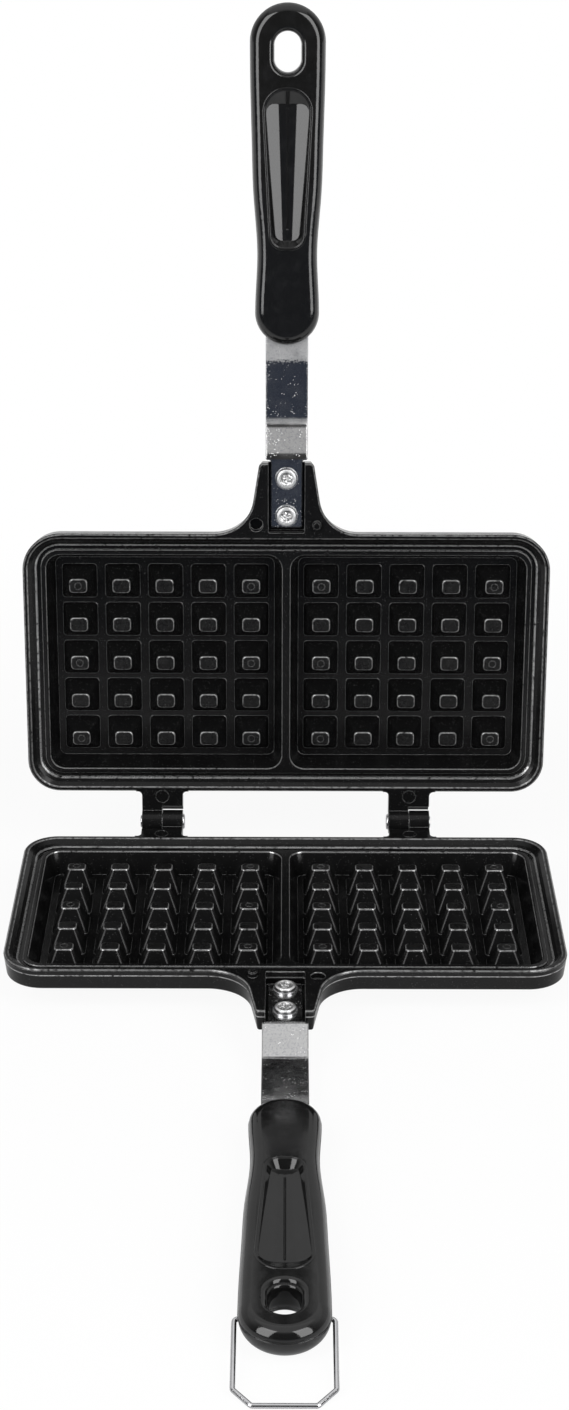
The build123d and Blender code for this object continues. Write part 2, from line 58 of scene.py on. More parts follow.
def add_camera():
    """Camera at the height of a person at a table, looking down at the open iron."""
    lens = bpy.data.cameras.new("camera")
    lens.sensor_fit = "AUTO"
    lens.sensor_width = SENSOR
    lens.lens = FOCAL_PIXELS / FRAME_HEIGHT * SENSOR
    lens.clip_start = 0.01
    lens.clip_end = 50.0
    camera = bpy.data.objects.new("camera", lens)
    turn = Matrix.Rotation(math.pi / 2 - CAMERA_PITCH, 4, "X") @ Matrix.Rotation(CAMERA_ROLL, 4, "Z")
    camera.matrix_world = Matrix.Translation(CAMERA_PLACE) @ turn
    bpy.context.scene.collection.objects.link(camera)
    bpy.context.scene.camera = camera


add_camera()
bpy.context.scene.view_settings.view_transform = "Standard"


# ------------------------------------------------------------------ halves
class Half:
    """Axes of one half at rest: across along the hinge, out to the handle, up to the waffle side."""

    def __init__(self, name, across, out, up):
        self.name = name
        self.body = f"{name}_half"
        self.axes = np.array((across, out, up), dtype=float)

    def place(self, local):
        """World points in metres of local points in millimetres: the hinge plus each measure on its axis."""
        return hinge + MM * np.asarray(local) @ self.axes

    def measure(self, world):
        """Local millimetres of world points: the offset from the hinge, projected on the three axes."""
        return (np.asarray(world) - hinge) @ self.axes.T / MM


joints = {joint["name"]: joint for joint in frame["joints"]}
hinge = np.array(joints["pan_hinge"]["pos_m"])
opened = math.radians(joints["pan_hinge"]["range_deg"][1])
lower = Half("lower", (-1, 0, 0), (0, -1, 0), (0, 0, 1))
upper = Half(
    "upper", (1, 0, 0), (0, -math.cos(opened), math.sin(opened)), (0, -math.sin(opened), -math.cos(opened)))
HALVES = (lower, upper)
ACROSS, OUT, UP = range(3)

# Millimetres in a half's own axes.
PARTING = -0.15                                     # level of the rim's lip
PAN_NEAR, PAN_DEPTH = 14.9, 125.0
RIDGE_LEVEL = PARTING - 2.6                         # level of the ridges and peg tops
PEG_PITCH_ACROSS, PEG_PITCH_OUT = 19.9, 18.5
FIRST_COLUMN = 16.19
PEGS_EACH_WAY = 5
PEG_MIDDLE_ROW = PAN_NEAR + PAN_DEPTH / 2
PEG_REACH_OUT = PEGS_EACH_WAY // 2 * PEG_PITCH_OUT
PEG_MARGIN_ACROSS, PEG_MARGIN_OUT = 4.5, 4.0        # half a peg's top and a little more
LAST_COLUMN = FIRST_COLUMN + (PEGS_EACH_WAY - 1) * PEG_PITCH_ACROSS
PEG_FIELD_ACROSS = (FIRST_COLUMN - PEG_MARGIN_ACROSS, LAST_COLUMN + PEG_MARGIN_ACROSS)
PEG_FIELD_OUT = (
    PEG_MIDDLE_ROW - PEG_REACH_OUT - PEG_MARGIN_OUT, PEG_MIDDLE_ROW + PEG_REACH_OUT + PEG_MARGIN_OUT)
PEG_RING_RADIUS, PEG_RING_WIDTH, PEG_RING_HEIGHT = 1.6, 0.45, 0.26
TAB_PLACE = (58.15, 12.4)                           # across and out
TAB_RING_RADIUS, TAB_RING_WIDTH, TAB_RING_HEIGHT = 3.1, 0.5, 0.3
GRIP_TOP = PARTING - 6.5
GRIP_THICKNESS = 14.2
GRIP_NEAR, GRIP_FAR = 225.1, 373.2
GRIP_INNER_EDGE = 4.6                               # radius of the edge on the waffle side
GRIP_SPINE = (239.2, 356.9)                         # centres of the near and tip arcs
GRIP_LEAST_HALF_WIDTH = 12.5
SEAM_WIDTH, SEAM_HEIGHT, SEAM_DROP = 0.34, 0.5, 0.3
HOLE_PLACE, HOLE_HALF_WIDTH, HOLE_HALF_LENGTH = 352.6, 6.3, 9.2
HOLE_WALL = ((0.05, 5.6), (-0.1, 4.4), (-0.55, 0.25))    # offset from the hole's side, height from its middle
RECESS_NEAR, RECESS_FAR = 268.7, 336.7
RECESS_NEAR_HALF, RECESS_FAR_HALF = 6.8, 10.3
RECESS_NEAR_CORNER, RECESS_FAR_CORNER = 5.6, 9.0
RECESS_LIP_WIDTH, RECESS_LIP_HEIGHT, RECESS_LIP_SHIFT = 1.3, 0.5, 0.7
CREASE_RUN = (RECESS_NEAR + 8.0, RECESS_FAR - 8.0)
CREASE_LEVELS = (GRIP_TOP - 5.0, GRIP_TOP - 1.0)
RIVET_PLACES = {"inner": 147.5, "outer": 165.0}
RIVET_RADIUS = 4.55
RIVET_SINK, RIVET_RISE = 1.1, 1.2                   # base below the tail's top, and the side's height over it
RIVET_RIM_RISE, RIVET_HOLLOW, RIVET_CRINKLE = 0.14, 0.42, 0.12
RIVET_RIM_PLACE, RIVET_RIM_SPREAD = 0.8, 0.12       # shares of the radius, as are the next three
RIVET_HOLLOW_EDGE, RIVET_HOLLOW_SOFT, RIVET_SIDE_FROM = 0.68, 0.2, 0.76
TANG_DULL_FROM = 216.5                              # to the grip
TANG_DULL_BAND = (189.0, 190.6)                     # before the second bend
TANG_DULLNESS = {"lower": (0.3, 0.0), "upper": (0.8, 0.6)}    # by the grip, and before the bend


# ------------------------------------------------------------------ material building blocks
class Finish:
    """A node material under construction, with short calls for the nodes it needs."""

    def __init__(self, name):
        self.material = bpy.data.materials.new(name)
        self.material.use_nodes = True
        self.tree = self.material.node_tree
        self.tree.nodes.clear()
        self.output = self.add("ShaderNodeOutputMaterial")
        self.place = self.add("ShaderNodeTexCoord").outputs["Object"]

    def add(self, kind, **settings):
        """A node with its settings."""
        node = self.tree.nodes.new(kind)
        for key, value in settings.items():
            setattr(node, key, value)
        return node

    def join(self, value, socket):
        """A link from a socket, or a constant set on the socket itself."""
        if isinstance(value, bpy.types.NodeSocket):
            self.tree.links.new(value, socket)
        elif value is not None:
            socket.default_value = value

    def math(self, operation, first, second=None):
        """One or two values, put through an operation."""
        node = self.add("ShaderNodeMath", operation=operation)
        for value, socket in zip((first, second), node.inputs):
            self.join(value, socket)
        return node.outputs[0]

    def times(self, first, second):
        """The product of two values."""
        return self.math("MULTIPLY", first, second)

    def most(self, first, second):
        """The larger of two values."""
        return self.math("MAXIMUM", first, second)

    def vector(self, operation, first, second=None):
        """One or two vectors, put through an operation."""
        node = self.add("ShaderNodeVectorMath", operation=operation)
        self.join(first, node.inputs[0])
        self.join(second, node.inputs[1])
        return node.outputs["Value" if operation in ("LENGTH", "DOT_PRODUCT") else "Vector"]

    def noise(self, size_mm, detail=2.0, rough=0.5, place=None):
        """Noise whose cells are about size_mm across."""
        node = self.add("ShaderNodeTexNoise")
        self.join(place or self.place, node.inputs["Vector"])
        node.inputs["Scale"].default_value = 1.0 / (size_mm * MM)
        node.inputs["Detail"].default_value = detail
        node.inputs["Roughness"].default_value = rough
        return node.outputs["Fac"]

    def cells(self, size_mm, feature="F1"):
        """Distance to the middle or the edge of cells about size_mm across, as a share of their size."""
        node = self.add("ShaderNodeTexVoronoi", feature=feature)
        self.join(self.place, node.inputs["Vector"])
        node.inputs["Scale"].default_value = 1.0 / (size_mm * MM)
        return node.outputs["Distance"]

    def span(self, value, low, high, to_low=0.0, to_high=1.0):
        """Value between low and high, carried to a new range and held inside it."""
        node = self.add("ShaderNodeMapRange", clamp=True)
        self.join(value, node.inputs["Value"])
        for key, number in (("From Min", low), ("From Max", high), ("To Min", to_low), ("To Max", to_high)):
            node.inputs[key].default_value = number
        return node.outputs["Result"]

    def band(self, value, low, high, soft):
        """1 between low and high, fading over soft on both sides."""
        return self.times(self.span(value, low - soft, low), self.span(value, high, high + soft, 1.0, 0.0))

    def along(self, half, axis):
        """Local millimetres along one axis of a half: (place - hinge) . axis."""
        from_hinge = self.vector("SUBTRACT", self.place, tuple(hinge))
        return self.times(self.vector("DOT_PRODUCT", from_hinge, tuple(half.axes[axis])), 1 / MM)

    def mix(self, factor, first, second):
        """Colour between two colours."""
        node = self.add("ShaderNodeMix", data_type="RGBA")
        self.join(factor, node.inputs["Factor"])
        self.join(first, node.inputs["A"])
        self.join(second, node.inputs["B"])
        return node.outputs["Result"]

    def bump(self, height, depth_mm, strength=1.0, below=None):
        """Normal of a surface raised by height times depth_mm."""
        node = self.add("ShaderNodeBump")
        node.inputs["Strength"].default_value = strength
        node.inputs["Distance"].default_value = depth_mm * MM
        self.join(height, node.inputs["Height"])
        self.join(below, node.inputs["Normal"])
        return node.outputs["Normal"]

    def rounded(self, radius_mm):
        """Normal of a surface whose edges are rounded by radius_mm."""
        bevel = self.add("ShaderNodeBevel", samples=6)
        bevel.inputs["Radius"].default_value = radius_mm * MM
        return bevel.outputs["Normal"]

    def edges(self, radius_mm):
        """0 on flat faces, rising towards 1 on sharp edges and in sharp corners."""
        flat = self.add("ShaderNodeNewGeometry").outputs["Normal"]
        return self.math("SUBTRACT", 1.0, self.vector("DOT_PRODUCT", self.rounded(radius_mm), flat))

    def close(self, color, roughness, metallic=0.0, normal=None, **extra):
        """The surface shader of the finish."""
        shader = self.add("ShaderNodeBsdfPrincipled")
        self.join(color, shader.inputs["Base Color"])
        self.join(roughness, shader.inputs["Roughness"])
        self.join(metallic, shader.inputs["Metallic"])
        self.join(normal, shader.inputs["Normal"])
        for key, value in extra.items():
            shader.inputs[key.replace("_", " ")].default_value = value
        self.tree.links.new(shader.outputs["BSDF"], self.output.inputs["Surface"])
        return self.material


def grey(level, blue=0.0):
    """Grey of a linear level, with its blue raised by a share."""
    return (level, level, level * (1 + blue), 1.0)


# ------------------------------------------------------------------ finishes
def pan_coating(half):
    """Satin black non-stick coat: orange peel, fine pale fleck, rubbed edges, peg tops mottled, and paler as
    painted sheen.
    """
    coat = Finish(f"{half.name}_pan_coating")
    across, out, up = (coat.along(half, axis) for axis in (ACROSS, OUT, UP))
    peel = coat.noise(0.8, 3.0, 0.6)
    cloud = coat.noise(26.0, 3.0)
    mottle = coat.noise(1.3, 4.0, 0.65)
    fleck = coat.times(coat.span(coat.cells(0.8), 0.2, 0.06), coat.span(coat.noise(2.6, 1.0), 0.46, 0.58))

    wear = coat.span(coat.noise(1.6, 3.0), 0.3, 0.56)
    ridge_edge = coat.band(up, RIDGE_LEVEL - 0.6, RIDGE_LEVEL - 0.2, 0.12)
    lip_edge = coat.times(coat.band(up, PARTING - 0.5, PARTING - 0.16, 0.08), 0.6)
    any_edge = coat.span(coat.edges(0.35), 0.015, 0.14)
    rub = coat.times(coat.most(any_edge, coat.most(ridge_edge, lip_edge)), wear)

    among_pegs = coat.times(
        coat.band(coat.math("ABSOLUTE", across), *PEG_FIELD_ACROSS, 0.5), coat.band(out, *PEG_FIELD_OUT, 0.5))
    peg_top = coat.times(among_pegs, coat.band(up, RIDGE_LEVEL - 0.35, RIDGE_LEVEL + 0.2, 0.15))

    black, pale_black, peg_top_sheen_grey, rubbed_grey, fleck_grey = (
        grey(0.0032), grey(0.0055, 0.03), grey(0.012), grey(0.34), grey(0.12))
    tone = coat.mix(cloud, black, pale_black)
    # Peg tops are painted paler than the floor between the pegs, a painted sheen, mottled by noise.
    tone = coat.mix(coat.times(peg_top, coat.span(mottle, 0.45, 0.7)), tone, peg_top_sheen_grey)
    tone = coat.mix(rub, tone, rubbed_grey)
    tone = coat.mix(coat.times(fleck, 0.7), tone, fleck_grey)
    rough = coat.math("ADD", coat.span(coat.noise(5.0, 2.0), 0.3, 0.7, 0.16, 0.24), coat.times(peg_top, 0.08))
    normal = coat.bump(peel, 0.035, 0.5, coat.rounded(0.3))
    normal = coat.bump(coat.times(peg_top, mottle), 0.12, 0.5, normal)
    normal = coat.bump(fleck, 0.04, 0.6, normal)
    return coat.close(tone, rough, coat.times(rub, 0.75), normal, IOR=1.3)


def grip_plastic(half):
    """Glossy black moulding: flow waves, faint pale clouds, hairline scratches, a crease down the recess, bumped
    in and darkened with painted shade.
    """
    skin = Finish(f"{half.name}_grip_plastic")
    across, out, up = (skin.along(half, axis) for axis in (ACROSS, OUT, UP))
    wave = skin.noise(14.0, 1.5)
    fine = skin.noise(1.1, 3.0, 0.65)
    cloud = skin.span(skin.noise(6.0, 4.0, 0.6), 0.5, 0.72)
    hairline = skin.span(skin.cells(3.0, "DISTANCE_TO_EDGE"), 0.012, 0.0)
    scratch = skin.times(hairline, skin.span(wave, 0.5, 0.6))
    crease = skin.times(skin.band(across, -0.1, 0.1, 0.4), skin.band(out, *CREASE_RUN, 0.5))
    crease = skin.times(crease, skin.band(up, *CREASE_LEVELS, 0.5))

    black, pale_black, cloud_grey, crease_shade_black = grey(0.0045), grey(0.0065), grey(0.018, 0.05), grey(0.001)
    tone = skin.mix(wave, black, pale_black)
    tone = skin.mix(skin.times(cloud, 0.3), tone, cloud_grey)
    # The crease is darkened with painted shade.
    tone = skin.mix(crease, tone, crease_shade_black)
    rough = skin.math("ADD", skin.span(fine, 0.3, 0.75, 0.05, 0.1), skin.times(scratch, 0.12))
    rough = skin.math("ADD", rough, skin.times(cloud, 0.06))
    normal = skin.bump(wave, 0.1, 0.3, skin.rounded(0.5))
    normal = skin.bump(fine, 0.004, 0.35, normal)
    normal = skin.bump(crease, -0.35, 1.0, normal)
    return skin.close(tone, rough, normal=normal, IOR=1.5)


def tang_steel(half):
    """Polished strip: rolling lines along it, pits and pale specks, dull by the grip and before the bend."""
    steel = Finish(f"{half.name}_tang_steel")
    out = steel.along(half, OUT)
    lines = steel.add("ShaderNodeMapping")
    steel.join(steel.place, lines.inputs["Vector"])
    lines.inputs["Scale"].default_value = (1.0, 0.04, 0.04)
    rolled = steel.noise(0.5, 3.0, 0.6, lines.outputs["Vector"])
    grain = steel.noise(0.9, 4.0, 0.7)
    haze = steel.noise(6.0, 4.0, 0.6)
    pits = steel.times(steel.span(steel.cells(0.9), 0.22, 0.1), steel.span(steel.noise(5.0, 2.0), 0.5, 0.6))

    ragged = steel.math("ADD", out, steel.times(steel.math("SUBTRACT", grain, 0.5), 8.0))
    by_grip, by_bend = TANG_DULLNESS[half.name]
    dull = steel.most(
        steel.times(steel.span(ragged, TANG_DULL_FROM, TANG_DULL_FROM + 1.5), by_grip),
        steel.times(steel.band(out, *TANG_DULL_BAND, 1.2), by_bend))

    steel_grey, bright_grey, grain_grey, pit_grey = grey(0.48), grey(0.6), grey(0.42, 0.04), grey(0.9)
    tone = steel.mix(haze, steel_grey, bright_grey)
    tone = steel.mix(steel.span(grain, 0.36, 0.5), grain_grey, tone)
    tone = steel.mix(pits, tone, pit_grey)
    rough = steel.math("ADD", steel.span(haze, 0.3, 0.7, 0.1, 0.19), steel.times(pits, 0.35))
    rough = steel.math("ADD", rough, steel.times(dull, 0.42))
    normal = steel.bump(rolled, 0.004, 0.5, steel.rounded(1.2))
    normal = steel.bump(grain, 0.004, 0.5, normal)
    normal = steel.bump(pits, 0.05, 0.8, normal)
    return steel.close(tone, rough, 1.0, normal)


def rivet_aluminium(half):
    """Struck aluminium: a bright ring round a crinkled middle, with painted shade darkening the middle and the
    side below the ring.
    """
    rivet = Finish(f"{half.name}_rivet_aluminium")
    across, out = (rivet.along(half, axis) for axis in (ACROSS, OUT))
    inner, outer = RIVET_PLACES["inner"], RIVET_PLACES["outer"]
    from_middle = rivet.math("ABSOLUTE", rivet.math("SUBTRACT", out, (inner + outer) / 2))
    ahead = rivet.math("SUBTRACT", from_middle, (outer - inner) / 2)
    away = rivet.math("SQRT", rivet.math("ADD", rivet.times(across, across), rivet.times(ahead, ahead)))
    side = rivet.span(away, RIVET_RADIUS * 0.93, RIVET_RADIUS * 0.99)

    fine = rivet.noise(0.35, 3.0, 0.6)
    # Painted shade in the hollow middle, broken up by noise and fading towards the ring.
    hollow_shade = rivet.span(rivet.noise(0.9, 3.0, 0.6), 0.4, 0.56)
    hollow_shade = rivet.times(hollow_shade, rivet.span(away, RIVET_RADIUS * 0.62, RIVET_RADIUS * 0.72, 0.85, 0.12))
    bright_grey, shade_grey = grey(0.93), grey(0.13)
    # The side below the ring is darkened with painted shade as well.
    tone = rivet.mix(rivet.most(hollow_shade, rivet.times(side, 0.9)), bright_grey, shade_grey)
    rough = rivet.span(fine, 0.3, 0.7, 0.3, 0.45)
    return rivet.close(tone, rough, 1.0, rivet.bump(fine, 0.015, 0.5))


def plain_steel(name, tone_level, rough_low, rough_high):
    """Bright steel with a little haze and fine wear in its gloss."""
    steel = Finish(name)
    haze = steel.noise(3.0, 3.0)
    fine = steel.noise(0.6, 2.0)
    tone = steel.mix(haze, grey(tone_level * 0.85, 0.02), grey(tone_level, 0.02))
    return steel.close(tone, steel.span(fine, 0.3, 0.7, rough_low, rough_high), 1.0)


SHARED_FINISHES = {
    "washer_steel": plain_steel("washer_steel", 0.75, 0.22, 0.34),
    "pin_steel": plain_steel("pin_steel", 0.72, 0.2, 0.3),
    "bail_wire": plain_steel("bail_wire", 0.62, 0.08, 0.14),
}
HALF_FINISHES = {
    half.name: {
        "pan_coating": pan_coating(half), "grip_plastic": grip_plastic(half),
        "tang_steel": tang_steel(half), "rivet_aluminium": rivet_aluminium(half),
    }
    for half in HALVES
}


def finish_of(slot, half_name):
    """The finish of a slot, made for that half where its pattern follows the half's own axes."""
    return SHARED_FINISHES.get(slot) or HALF_FINISHES[half_name][slot]


slot_of = {part["node"]: part["material_slot"] for part in frame["record"]["subparts"]}
for name, node in nodes.items():
    node.data.materials.clear()
    node.data.materials.append(finish_of(slot_of[name], name.split("_")[0]))


# ------------------------------------------------------------------ small moulded and struck details
def add_mesh(name, points, faces, half, slot):
    """Smooth mesh from world points, its doubles merged and its faces turned outwards, riding on a half."""
    mesh = bpy.data.meshes.new(name)
    mesh.from_pydata(points.tolist(), [], faces.tolist())
    work = bmesh.new()
    work.from_mesh(mesh)
    bmesh.ops.remove_doubles(work, verts=work.verts, dist=MERGE_WITHIN)
    bmesh.ops.recalc_face_normals(work, faces=work.faces)
    work.to_mesh(mesh)
    work.free()
    mesh.polygons.foreach_set("use_smooth", np.ones(len(mesh.polygons), dtype=bool))
    mesh.materials.append(finish_of(slot, half.name))
    piece = bpy.data.objects.new(name, mesh)
    bpy.context.scene.collection.objects.link(piece)
    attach(piece, half.body)


def grid_faces(loops, around, along, wrap_along):
    """Quads between neighbours on loops grids of around by along points, wrapped round, and along if asked."""
    loop, row, column = np.meshgrid(
        np.arange(loops), np.arange(around), np.arange(along if wrap_along else along - 1), indexing="ij")
    next_row, next_column = (row + 1) % around, (column + 1) % along
    corners = [(row, column), (next_row, column), (next_row, next_column), (row, next_column)]
    return np.stack([(loop * around + r) * along + c for r, c in corners], axis=-1).reshape(-1, 4)


def sweep(name, half, slot, paths, profile):
    """Closed loops carried round flat paths: path + offset * its normal, at the profile's level.

    paths is (loops, points, 2) in across and out, and profile is (corners, 2) in offset and level.
    """
    paths = np.asarray(paths, dtype=float)
    ahead = np.roll(paths, -1, axis=1) - np.roll(paths, 1, axis=1)
    ahead /= np.linalg.norm(ahead, axis=2, keepdims=True)
    normal = np.stack([ahead[..., 1], -ahead[..., 0]], axis=-1)
    profile = np.broadcast_to(profile, paths.shape[:2] + np.shape(profile)[-2:])
    flat = paths[:, :, None, :] + profile[..., :1] * normal[:, :, None, :]
    local = np.concatenate([flat, profile[..., 1:]], axis=-1)
    loops, around, along = local.shape[:3]
    add_mesh(name, half.place(local.reshape(-1, 3)), grid_faces(loops, around, along, True), half, slot)


def oval(width, height, level, corners=10):
    """Oval section: half the width times cos, and the level plus half the height times sin."""
    angle = np.linspace(0, 2 * np.pi, corners, endpoint=False)
    return np.stack([width / 2 * np.cos(angle), level + height / 2 * np.sin(angle)], axis=-1)


def ring_paths(centres, radius, points=28):
    """Circles about each centre: centre + radius * (cos, sin)."""
    angle = np.linspace(0, 2 * np.pi, points, endpoint=False)
    circle = radius * np.stack([np.cos(angle), np.sin(angle)], axis=-1)
    return np.asarray(centres, dtype=float)[:, None, :] + circle[None]


def slot_path(half_width, half_length, place, points=32):
    """Slot: a half circle at each end, each pushed along out by half of what the length exceeds the width."""
    angle = np.linspace(0, 2 * np.pi, 2 * points, endpoint=False) + np.pi / (2 * points)
    push = np.where(np.sin(angle) > 0, 1, -1) * (half_length - half_width)
    return np.stack([half_width * np.cos(angle), place + half_width * np.sin(angle) + push], axis=-1)


def rounded_path(corners, radii, points=12):
    """Polygon with an arc in each corner, from tangent points at radius / tan(half the corner) on both sides.

    The arc's centre is on the corner's bisector at radius / sin(half the corner), and its points turn evenly
    from one tangent point to the other.
    """
    corners = np.asarray(corners, dtype=float)
    before, after = np.roll(corners, 1, axis=0) - corners, np.roll(corners, -1, axis=0) - corners
    before /= np.linalg.norm(before, axis=1, keepdims=True)
    after /= np.linalg.norm(after, axis=1, keepdims=True)
    half_corner = np.arccos((before * after).sum(axis=1)) / 2
    middle = before + after
    middle /= np.linalg.norm(middle, axis=1, keepdims=True)
    radii = np.asarray(radii, dtype=float)
    centres = corners + middle * (radii / np.sin(half_corner))[:, None]
    start = corners + before * (radii / np.tan(half_corner))[:, None] - centres
    end = corners + after * (radii / np.tan(half_corner))[:, None] - centres
    share = np.linspace(0, 1, points)[None, :, None]
    spread = (np.pi - 2 * half_corner)[:, None, None]
    from_start = np.sin((1 - share) * spread) * start[:, None]
    from_end = np.sin(share * spread) * end[:, None]
    return (centres[:, None] + (from_start + from_end) / np.sin(spread)).reshape(-1, 2)


def even_path(path, points):
    """The closed path at even steps of its length."""
    closed = np.concatenate([path, path[:1]])
    length = np.concatenate([[0], np.cumsum(np.linalg.norm(np.diff(closed, axis=0), axis=1))])
    steps = np.linspace(0, length[-1], points, endpoint=False)
    return np.stack([np.interp(steps, length, closed[:, axis]) for axis in (0, 1)], axis=-1)


def grip_outline(half, points=360):
    """Outline of a grip at the top of its flat side, from the grip's own vertices, in order of angle."""
    mesh = nodes[f"{half.name}_grip"].data
    world = np.empty(len(mesh.vertices) * 3)
    mesh.vertices.foreach_get("co", world)
    across, out, up = half.measure(world.reshape(-1, 3)).T
    beside_spine = np.hypot(across, out - np.clip(out, *GRIP_SPINE))
    tolerance = 0.02
    on_side = (np.abs(up - (GRIP_TOP - GRIP_INNER_EDGE)) < tolerance) & (beside_spine > GRIP_LEAST_HALF_WIDTH)
    outline = np.unique(np.round(np.stack([across[on_side], out[on_side]], axis=-1), 3), axis=0)
    middle = np.array([0.0, 0.5 * (GRIP_NEAR + GRIP_FAR)])
    order = np.argsort(np.arctan2(*(outline - middle).T[::-1]))
    return even_path(outline[order], points)


def add_grip_details(half):
    """Mould seam round the grip, lip round the thumb recess and drafted wall in the hanging hole."""
    seam = oval(SEAM_WIDTH, SEAM_HEIGHT, GRIP_TOP - GRIP_INNER_EDGE - SEAM_DROP)
    sweep(f"{half.name}_grip_seam", half, "grip_plastic", grip_outline(half)[None], seam)
    recess = rounded_path(
        [(-RECESS_NEAR_HALF, RECESS_NEAR), (RECESS_NEAR_HALF, RECESS_NEAR),
         (RECESS_FAR_HALF, RECESS_FAR), (-RECESS_FAR_HALF, RECESS_FAR)],
        [RECESS_NEAR_CORNER, RECESS_NEAR_CORNER, RECESS_FAR_CORNER, RECESS_FAR_CORNER])
    lip = oval(RECESS_LIP_WIDTH, RECESS_LIP_HEIGHT, GRIP_TOP) + (RECESS_LIP_SHIFT, 0)
    sweep(f"{half.name}_recess_lip", half, "grip_plastic", even_path(recess, 240)[None], lip)
    middle = GRIP_TOP - GRIP_THICKNESS / 2
    wall = [(offset, middle + height) for offset, height in HOLE_WALL]
    wall += [(offset, middle - height) for offset, height in reversed(HOLE_WALL)]
    hole = slot_path(HOLE_HALF_WIDTH, HOLE_HALF_LENGTH, HOLE_PLACE)
    sweep(f"{half.name}_hole_wall", half, "grip_plastic", hole[None], wall)


def add_pan_details(half):
    """Ejector rings on the hinge tabs, and on three pegs of each cavity's first and last columns."""
    tabs = [(side * TAB_PLACE[0], TAB_PLACE[1]) for side in (-1, 1)]
    tab_ring = oval(TAB_RING_WIDTH, TAB_RING_HEIGHT, PARTING)
    sweep(f"{half.name}_tab_rings", half, "pan_coating", ring_paths(tabs, TAB_RING_RADIUS), tab_ring)
    steps = np.array((0, PEGS_EACH_WAY // 2, PEGS_EACH_WAY - 1))
    columns = np.concatenate([side * (FIRST_COLUMN + steps[[0, 2]] * PEG_PITCH_ACROSS) for side in (-1, 1)])
    rows = PEG_MIDDLE_ROW + (steps - PEGS_EACH_WAY // 2) * PEG_PITCH_OUT
    pegs = np.stack(np.meshgrid(columns, rows), axis=-1).reshape(-1, 2)
    peg_ring = oval(PEG_RING_WIDTH, PEG_RING_HEIGHT, RIDGE_LEVEL, 8)
    sweep(f"{half.name}_peg_rings", half, "pan_coating", ring_paths(pegs, PEG_RING_RADIUS, 20), peg_ring)


def add_rivet_top(half, which, rings=26, around=56):
    """Struck rivet: a rolled rim round a crinkled hollow, closed below by a flat base.

    The height is flat in the middle and falls as a quarter ellipse at the side, plus a bell at the rim, less
    a hollow, plus waves in angle and radius that fade out before the rim.
    """
    name = f"{half.name}_rivet_{which}"
    box = half.measure(np.array(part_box(name)))
    top = box[:, 2].max()
    radius = RIVET_RADIUS * np.linspace(0, 1, rings)[:, None]
    angle = np.linspace(0, 2 * np.pi, around, endpoint=False)[None]
    share = radius / RIVET_RADIUS
    turn = RIVET_PLACES[which] + 3.0 * (half is upper)
    waves = (np.sin(3 * angle + 5 * share + turn) + 0.7 * np.sin(5 * angle - 11 * share + 2.1 * turn)
             + 0.6 * np.sin(2 * angle + 17 * share) + 0.5 * np.sin(9 * angle + 8 * share - turn))
    inside = np.clip((RIVET_HOLLOW_EDGE - share) / RIVET_HOLLOW_SOFT, 0, 1)
    rim = np.exp(-((share - RIVET_RIM_PLACE) / RIVET_RIM_SPREAD) ** 2)
    down_side = np.clip((share - RIVET_SIDE_FROM) / (1 - RIVET_SIDE_FROM), 0, 1)
    side = np.sqrt(1 - down_side ** 2)
    base_level = top - RIVET_SINK
    level = base_level + RIVET_RISE * side + RIVET_RIM_RISE * rim
    level = level - inside * (RIVET_HOLLOW - RIVET_CRINKLE * waves)
    across, out = radius * np.cos(angle), RIVET_PLACES[which] + radius * np.sin(angle)
    cap = np.stack([across, out, level], axis=-1)
    base = np.stack([across[::-1], out[::-1], np.full((rings, around), base_level)], axis=-1)
    shell = np.concatenate([cap, base[1:]]).transpose(1, 0, 2)
    faces = grid_faces(1, around, shell.shape[1], False)
    add_mesh(f"{name}_struck_top", half.place(shell.reshape(-1, 3)), faces, half, "rivet_aluminium")


for half in HALVES:
    add_grip_details(half)
    add_pan_details(half)
    for which in RIVET_PLACES:
        add_rivet_top(half, which)


# ------------------------------------------------------------------ studio
# Distances in metres, from the world's origin or along its axes.
FLOOR_REACH = 12.0
FLOOR_SHADE = (0.25, 0.55)                           # where the floor's own shade fades into plain white
FLOOR_COVER = 0.93                                   # share of plain white near the iron, seen directly
FLOOR_COVER_IN_GLOSS = 0.25                          # and seen in gloss
ROOM_DARK = (-0.42, -0.12)                           # where the mirrored floor goes from dark to white, in y
ROOM_TONE = (0.05, 0.06, 0.085, 1.0)
FILL = 0.16
BACKDROP = (-0.3, 0.5, 0.05, 0.56)                   # from y, to y, and the two levels
BACKDROP_TOP = (0.575, 0.6, 1.0, 1.3)                # from z, to z, and what the backdrop is multiplied by
CEILING = (0.66, 0.97, 0.0, 0.6)                     # from z, to z, and the two levels
TOP_SOFTBOX = {"place": (0.0, -0.2, 1.6), "target": (0.0, -0.1, 0.0), "width": 1.8, "height": 1.9}
TOP_SOFTBOX_LEVEL = 0.36
SIDE_SOFTBOX = {"target": (0.0, 0.0, 0.1), "width": 0.75, "height": 1.5}
SIDE_SOFTBOX_LEVEL = 5.0
SIDE_SOFTBOX_TURN, SIDE_SOFTBOX_LIFT, SIDE_SOFTBOX_AWAY = math.radians(43.0), math.radians(28.0), 1.4


